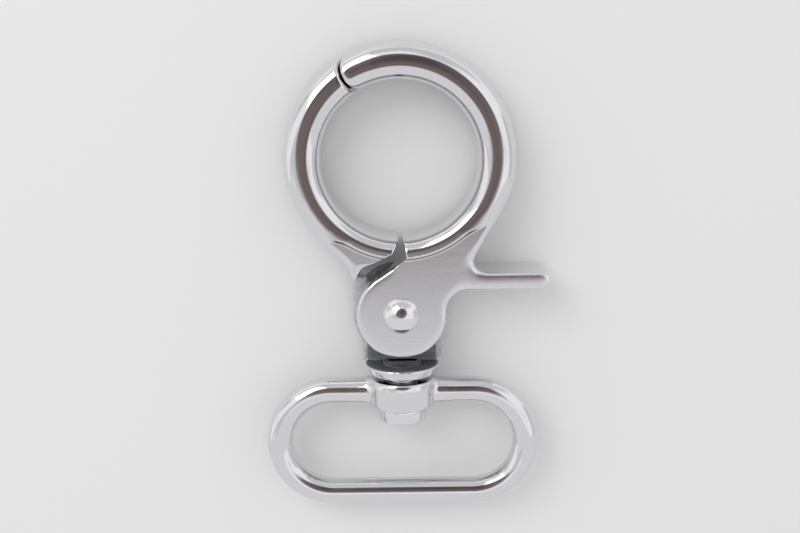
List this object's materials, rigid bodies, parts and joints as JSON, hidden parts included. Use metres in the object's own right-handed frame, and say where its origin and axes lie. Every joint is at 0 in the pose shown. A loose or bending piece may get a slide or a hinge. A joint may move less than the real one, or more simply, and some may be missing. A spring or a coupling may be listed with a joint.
{
  "type": "swivel snap hook",
  "caption": "Trigger snap hook: a round ring in two cast halves, one a sprung gate with a thumb lever on a rivet, over a swivelling oblong strap loop.",
  "frame": {"origin": "centre of the ring's hole at mid depth", "axes": "+Y to the top of the ring, away from the strap loop; +X to the thumb lever; +Z out of the front face, the hook lying on its back"},
  "size_m": [0.0493, 0.0809, 0.0128],
  "materials": {
    "plated_casting": "bright nickel plate over a polished zinc casting, satin on the flat faces",
    "plated_rivet": "bright nickel plate on a headed steel rivet",
    "spring_wire": "drawn spring wire"
  },
  "bodies": {
    "hook": {"hook_body": "plated_casting", "pivot_rivet": "plated_rivet", "swivel_stud": "plated_rivet", "gate_spring": "spring_wire"},
    "gate": {"gate": "plated_casting"},
    "loop": {"swivel_loop": "plated_casting"}
  },
  "joints": [
    {"name": "gate_pivot", "type": "hinge", "parent": "hook", "child": "gate", "pos_m": [0, -0.0262, 0], "axis": [0, 0, -1], "range_deg": [0, 26], "stiffness_Nm_per_rad": 0.2, "springref_deg": -51.57, "deforming": ["gate_spring"]},
    {"name": "loop_swivel", "type": "hinge", "parent": "hook", "child": "loop", "pos_m": [0, -0.0405, 0], "axis": [0, 1, 0], "continuous": true}
  ]
}
